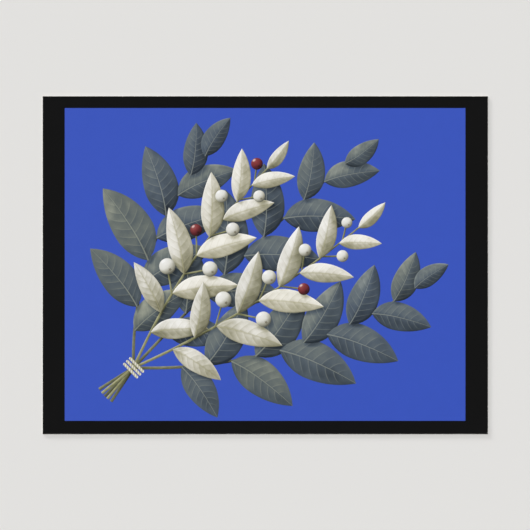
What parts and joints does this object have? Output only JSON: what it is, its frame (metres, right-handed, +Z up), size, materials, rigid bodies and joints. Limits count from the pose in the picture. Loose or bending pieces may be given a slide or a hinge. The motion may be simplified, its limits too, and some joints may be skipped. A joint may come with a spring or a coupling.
{
  "type": "postcard",
  "caption": "Flat landscape postcard of layered paper, with a black-bordered leaf spray printed on its coated front and address rules on its plain writing side.",
  "frame": {"origin": "centre of the writing side, the face that the card lies on", "axes": "+X along the card's long side, to the picture's right; +Y to the picture's top; +Z up, out of the picture side"},
  "size_m": [0.1422, 0.108, 0.0004],
  "materials": {
    "uncoated_paper": "matt uncoated white paper",
    "core_board": "raw board at the cut edge",
    "clay_coating": "smooth clay coating, under the toner",
    "black_toner": "satin black toner",
    "blue_toner": "satin blue toner",
    "slate_toner": "satin slate-grey toner",
    "stem_toner": "satin olive toner",
    "cream_toner": "satin cream toner",
    "white_toner": "satin near-white toner",
    "red_toner": "satin dark red toner",
    "grey_ink": "flat grey ink, soaked into the paper"
  },
  "bodies": {
    "root": {"back_liner": "uncoated_paper", "core_ply": "core_board", "front_liner": "uncoated_paper", "front_coating": "clay_coating", "divider_ink": "grey_ink", "address_rule_ink": "grey_ink", "stamp_box_ink": "grey_ink", "border_toner": "black_toner", "ground_toner": "blue_toner", "slate_stem_toner": "stem_toner", "slate_leaf_toner": "slate_toner", "pale_stem_toner": "stem_toner", "pale_leaf_toner": "cream_toner", "white_berry_toner": "white_toner", "red_berry_toner": "red_toner", "twine_toner": "cream_toner"}
  },
  "joints": []
}
